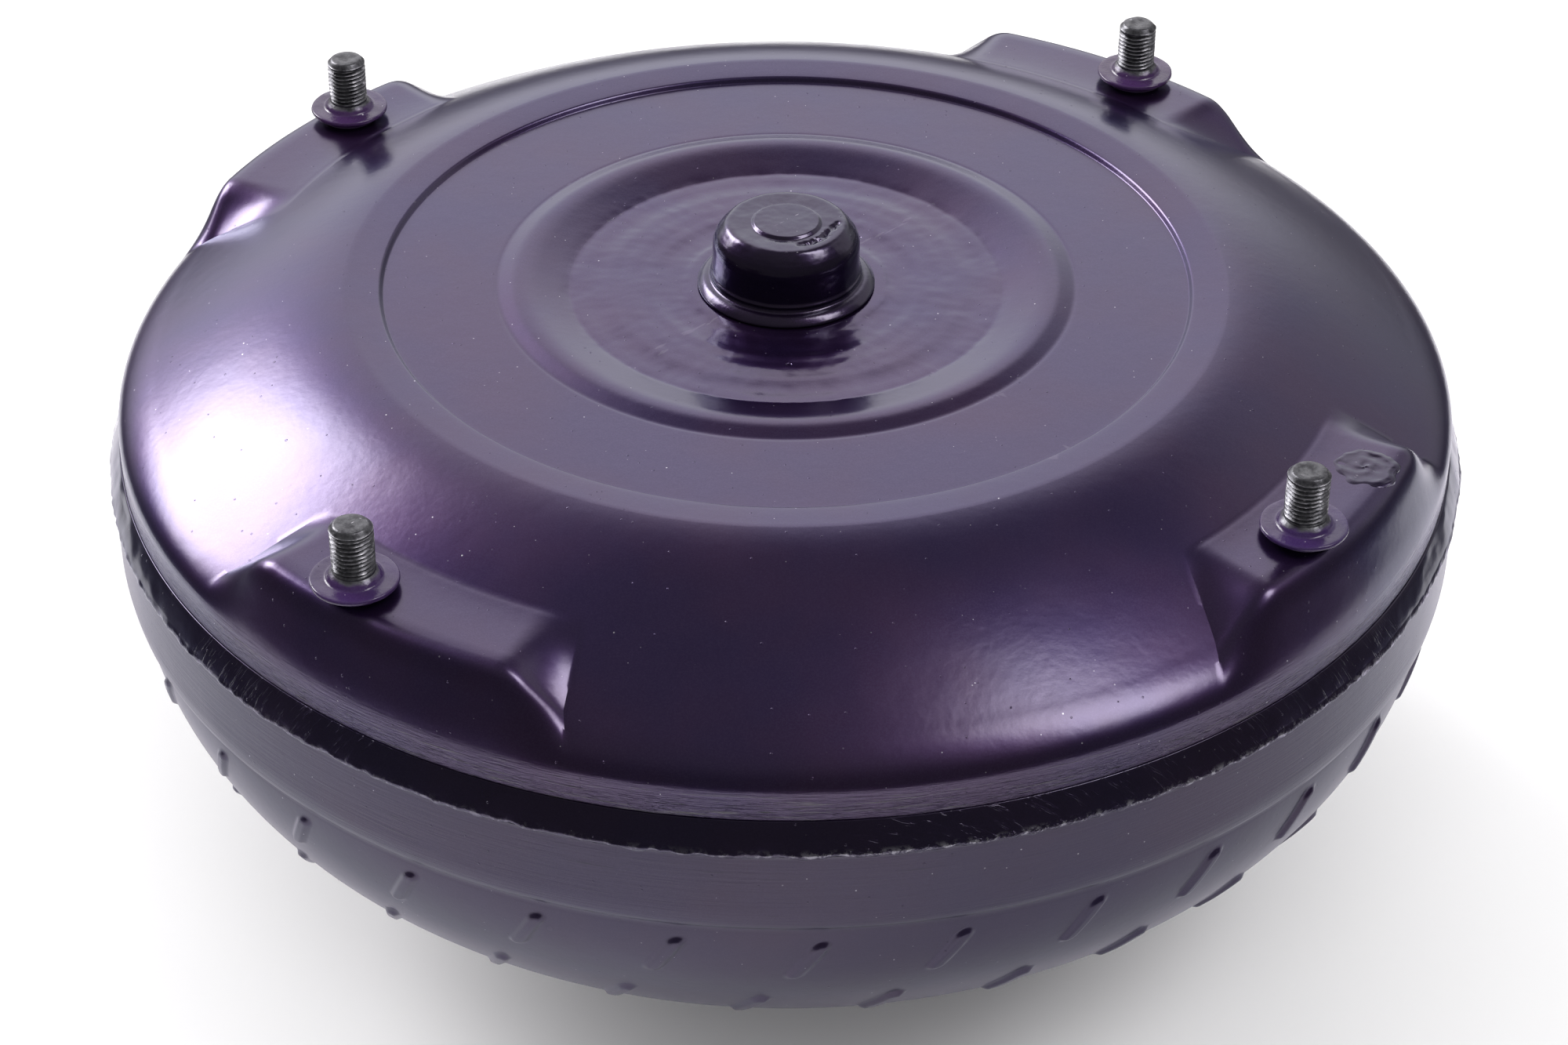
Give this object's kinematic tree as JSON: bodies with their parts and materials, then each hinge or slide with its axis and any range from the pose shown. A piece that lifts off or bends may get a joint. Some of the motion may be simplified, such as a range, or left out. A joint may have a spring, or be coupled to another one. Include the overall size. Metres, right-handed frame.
{
  "type": "torque converter",
  "caption": "Welded torque converter with a studded front cover, centre pilot, finned impeller bowl, turbine, one-way stator and damped lock-up clutch.",
  "frame": {"origin": "centre of the rear hub's end face, on the axis of rotation", "axes": "+Z along the axis of rotation, from the transmission towards the engine; the four studs lie at -39, 51, 141 and 231 degrees from +X"},
  "size_m": [0.3234, 0.3252, 0.1759],
  "materials": {
    "housing_paint": "gloss",
    "weld_paint": "gloss",
    "stud_steel": "dark threads with worn crests",
    "ground_steel": "ground",
    "pressed_steel": "pressed, oiled",
    "forged_steel": "forged and turned",
    "spring_steel": "dark satin",
    "cast_alloy": "cast",
    "friction_paper": "porous",
    "seal_rubber": "matte",
    "washer_bronze": "turned"
  },
  "bodies": {
    "housing": {"front_cover": "housing_paint", "crankshaft_pilot": "housing_paint", "flexplate_stud_1": "stud_steel", "flexplate_stud_2": "stud_steel", "flexplate_stud_3": "stud_steel", "flexplate_stud_4": "stud_steel", "drain_plug": "housing_paint", "closure_weld": "weld_paint", "impeller_shell": "housing_paint", "impeller_hub": "ground_steel", "impeller_blade_ring": "pressed_steel", "front_thrust_washer": "washer_bronze"},
    "stator_race": {"stator_inner_race": "ground_steel"},
    "turbine": {"turbine_shell": "pressed_steel", "turbine_blade_ring": "pressed_steel", "turbine_hub": "forged_steel", "turbine_rivet_1": "forged_steel", "turbine_rivet_2": "forged_steel", "turbine_rivet_3": "forged_steel", "turbine_rivet_4": "forged_steel", "turbine_rivet_5": "forged_steel", "turbine_rivet_6": "forged_steel"},
    "damper_driven_plate": {"driven_plate": "forged_steel"},
    "clutch_piston": {"lockup_piston": "pressed_steel", "friction_lining": "friction_paper", "piston_seal": "seal_rubber", "damper_plate_front": "pressed_steel", "damper_plate_rear": "pressed_steel", "damper_stop_pin_1": "forged_steel", "damper_stop_pin_2": "forged_steel", "damper_stop_pin_3": "forged_steel", "damper_stop_pin_4": "forged_steel", "damper_stop_pin_5": "forged_steel", "damper_stop_pin_6": "forged_steel", "damper_spring_1": "spring_steel", "damper_spring_2": "spring_steel", "damper_spring_3": "spring_steel", "damper_spring_4": "spring_steel", "damper_spring_5": "spring_steel", "damper_spring_6": "spring_steel"},
    "stator": {"stator_wheel": "cast_alloy", "clutch_cam": "forged_steel", "clutch_roller_1": "ground_steel", "clutch_roller_2": "ground_steel", "clutch_roller_3": "ground_steel", "clutch_roller_4": "ground_steel", "clutch_roller_5": "ground_steel", "clutch_roller_6": "ground_steel", "roller_spring_1": "spring_steel", "roller_spring_2": "spring_steel", "roller_spring_3": "spring_steel", "roller_spring_4": "spring_steel", "roller_spring_5": "spring_steel", "roller_spring_6": "spring_steel", "clutch_end_cap_rear": "cast_alloy", "clutch_end_cap_front": "cast_alloy", "clutch_snap_ring": "spring_steel"},
    "rear_bearing": {"rear_thrust_bearing": "ground_steel"},
    "front_bearing": {"front_thrust_bearing": "ground_steel"}
  },
  "joints": [
    {"name": "race_turn", "type": "hinge", "parent": "housing", "child": "stator_race", "pos_m": [0, 0, 0.09], "axis": [0, 0, 1], "continuous": true},
    {"name": "turbine_turn", "type": "hinge", "parent": "stator_race", "child": "turbine", "pos_m": [0, 0, 0.12], "axis": [0, 0, 1], "continuous": true},
    {"name": "clutch_apply", "type": "slide", "parent": "turbine", "child": "damper_driven_plate", "axis": [0, 0, 1], "range_m": [0, 0.0011]},
    {"name": "damper_twist", "type": "hinge", "parent": "damper_driven_plate", "child": "clutch_piston", "pos_m": [0, 0, 0.14], "axis": [0, 0, 1], "range_deg": [-7, 7], "stiffness_Nm_per_rad": 300, "deforming": ["damper_spring_1", "damper_spring_2", "damper_spring_3", "damper_spring_4", "damper_spring_5", "damper_spring_6"]},
    {"name": "stator_freewheel", "type": "hinge", "parent": "stator_race", "child": "stator", "pos_m": [0, 0, 0.09], "axis": [0, 0, -1], "range_deg": [0, 360]},
    {"name": "rear_bearing_turn", "type": "hinge", "parent": "housing", "child": "rear_bearing", "pos_m": [0, 0, 0.07], "axis": [0, 0, 1], "continuous": true},
    {"name": "front_bearing_turn", "type": "hinge", "parent": "stator_race", "child": "front_bearing", "pos_m": [0, 0, 0.108], "axis": [0, 0, 1], "continuous": true}
  ],
  "couplings": [
    {"joint": "rear_bearing_turn", "follows": "race_turn", "ratio": 0.5},
    {"joint": "front_bearing_turn", "follows": "turbine_turn", "ratio": 0.5}
  ]
}
